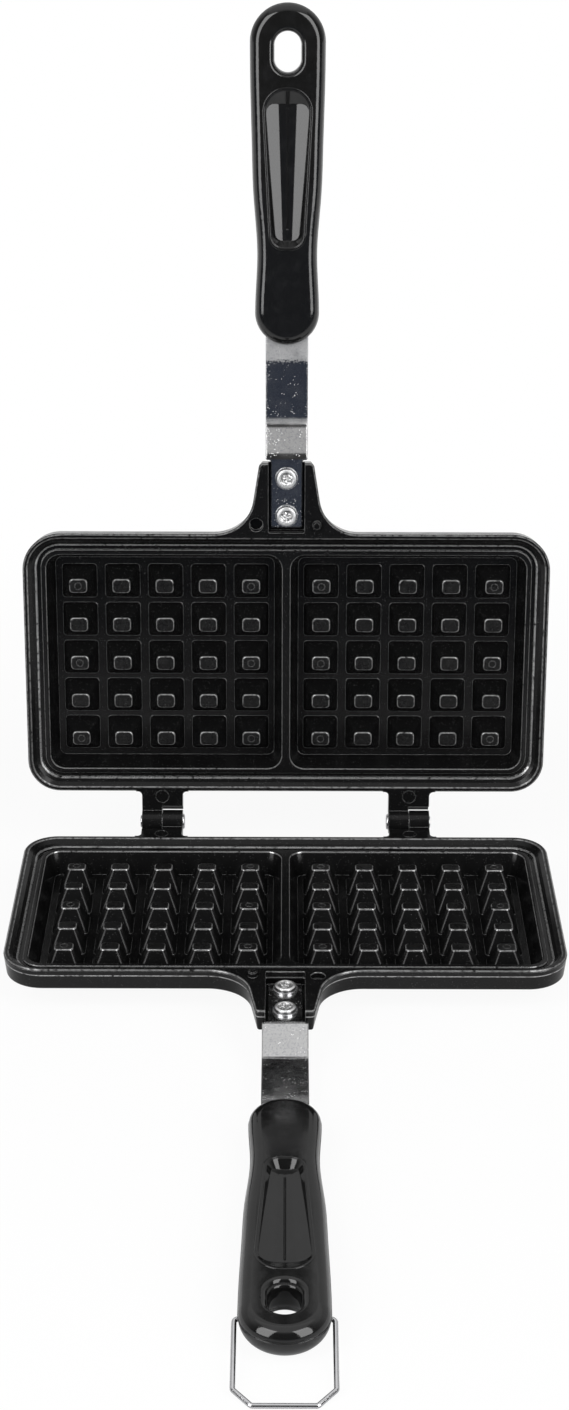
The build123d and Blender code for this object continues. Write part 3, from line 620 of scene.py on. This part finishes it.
def add_floor():
    """Pale floor with a faint shadow near the iron, white further out, darker in gloss towards the room."""
    corners = [(x * FLOOR_REACH, y * FLOOR_REACH, 0) for x, y in ((-1, -1), (1, -1), (1, 1), (-1, 1))]
    mesh = bpy.data.meshes.new("floor")
    mesh.from_pydata(corners, [], [(0, 1, 2, 3)])
    floor = bpy.data.objects.new("floor", mesh)
    bpy.context.scene.collection.objects.link(floor)
    pale = Finish("floor_white")
    path = pale.add("ShaderNodeLightPath")
    direct = path.outputs["Is Camera Ray"]
    mirrored = pale.most(path.outputs["Is Glossy Ray"], path.outputs["Is Transmission Ray"])
    away = pale.vector("LENGTH", pale.place)
    cover = pale.most(
        pale.times(direct, pale.span(away, *FLOOR_SHADE, FLOOR_COVER, 1.0)),
        pale.times(mirrored, pale.span(away, *FLOOR_SHADE, FLOOR_COVER_IN_GLOSS, 1.0)))
    matt = pale.add("ShaderNodeBsdfDiffuse")
    matt.inputs["Color"].default_value = grey(0.8)
    split = pale.add("ShaderNodeSeparateXYZ")
    pale.join(pale.place, split.inputs[0])
    lit = pale.most(pale.span(split.outputs["Y"], *ROOM_DARK), direct)
    glow = pale.add("ShaderNodeEmission")
    pale.join(pale.mix(lit, ROOM_TONE, grey(1.0)), glow.inputs["Color"])
    blend = pale.add("ShaderNodeMixShader")
    pale.join(cover, blend.inputs[0])
    pale.join(matt.outputs[0], blend.inputs[1])
    pale.join(glow.outputs[0], blend.inputs[2])
    pale.join(blend.outputs[0], pale.output.inputs["Surface"])
    mesh.materials.append(pale.material)


def add_softbox(name, place, target, width, height, brightness):
    """Rectangular soft lamp at place, turned towards target, in metres; white paper is brightness 1."""
    lamp = bpy.data.lights.new(name, "AREA")
    lamp.shape = "RECTANGLE"
    lamp.size = width
    lamp.size_y = height
    lamp.energy = math.pi * width * height * brightness
    box = bpy.data.objects.new(name, lamp)
    turn = (Vector(target) - Vector(place)).to_track_quat("-Z", "Y")
    box.matrix_world = Matrix.Translation(Vector(place)) @ turn.to_matrix().to_4x4()
    bpy.context.scene.collection.objects.link(box)


def add_world():
    """White room seen directly, grey fill, and in gloss: bright overhead, greyer behind, dark in front."""
    world = bpy.data.worlds.new("studio")
    world.use_nodes = True
    tree = world.node_tree
    tree.nodes.clear()

    def node(kind, **settings):
        made = tree.nodes.new(kind)
        for key, value in settings.items():
            setattr(made, key, value)
        return made

    def ramp(socket, low, high, to_low, to_high):
        made = node("ShaderNodeMapRange", clamp=True, interpolation_type="SMOOTHSTEP")
        tree.links.new(socket, made.inputs["Value"])
        for key, value in (("From Min", low), ("From Max", high), ("To Min", to_low), ("To Max", to_high)):
            made.inputs[key].default_value = value
        return made.outputs["Result"]

    def background(level, strength=None):
        made = node("ShaderNodeBackground")
        made.inputs["Color"].default_value = grey(level)
        if strength is not None:
            tree.links.new(strength, made.inputs["Strength"])
        return made.outputs[0]

    def choose(factor, first, second):
        made = node("ShaderNodeMixShader")
        for value, socket in zip((factor, first, second), made.inputs):
            tree.links.new(value, socket)
        return made.outputs[0]

    path = node("ShaderNodeLightPath")
    split = node("ShaderNodeSeparateXYZ")
    tree.links.new(node("ShaderNodeTexCoord").outputs["Generated"], split.inputs[0])
    behind = node("ShaderNodeMath", operation="MULTIPLY")
    tree.links.new(ramp(split.outputs["Y"], *BACKDROP), behind.inputs[0])
    tree.links.new(ramp(split.outputs["Z"], *BACKDROP_TOP), behind.inputs[1])
    above = ramp(split.outputs["Z"], *CEILING)
    gloss = node("ShaderNodeMath", operation="MAXIMUM")
    tree.links.new(behind.outputs[0], gloss.inputs[0])
    tree.links.new(above, gloss.inputs[1])
    mirrored = node("ShaderNodeMath", operation="MAXIMUM")
    tree.links.new(path.outputs["Is Glossy Ray"], mirrored.inputs[0])
    tree.links.new(path.outputs["Is Transmission Ray"], mirrored.inputs[1])
    around = choose(mirrored.outputs[0], background(FILL), background(1.0, gloss.outputs[0]))
    shown = choose(path.outputs["Is Camera Ray"], around, background(1.0))
    tree.links.new(shown, node("ShaderNodeOutputWorld").inputs["Surface"])
    bpy.context.scene.world = world


add_floor()
add_world()
add_softbox("top_softbox", brightness=TOP_SOFTBOX_LEVEL, **TOP_SOFTBOX)
for side, name in ((-1, "side_softbox_left"), (1, "side_softbox_right")):
    ahead = -math.cos(SIDE_SOFTBOX_LIFT) * math.cos(SIDE_SOFTBOX_TURN)
    beside = side * math.cos(SIDE_SOFTBOX_LIFT) * math.sin(SIDE_SOFTBOX_TURN)
    away = SIDE_SOFTBOX_AWAY * Vector((beside, ahead, math.sin(SIDE_SOFTBOX_LIFT)))
    add_softbox(name, away + Vector(SIDE_SOFTBOX["target"]), brightness=SIDE_SOFTBOX_LEVEL, **SIDE_SOFTBOX)
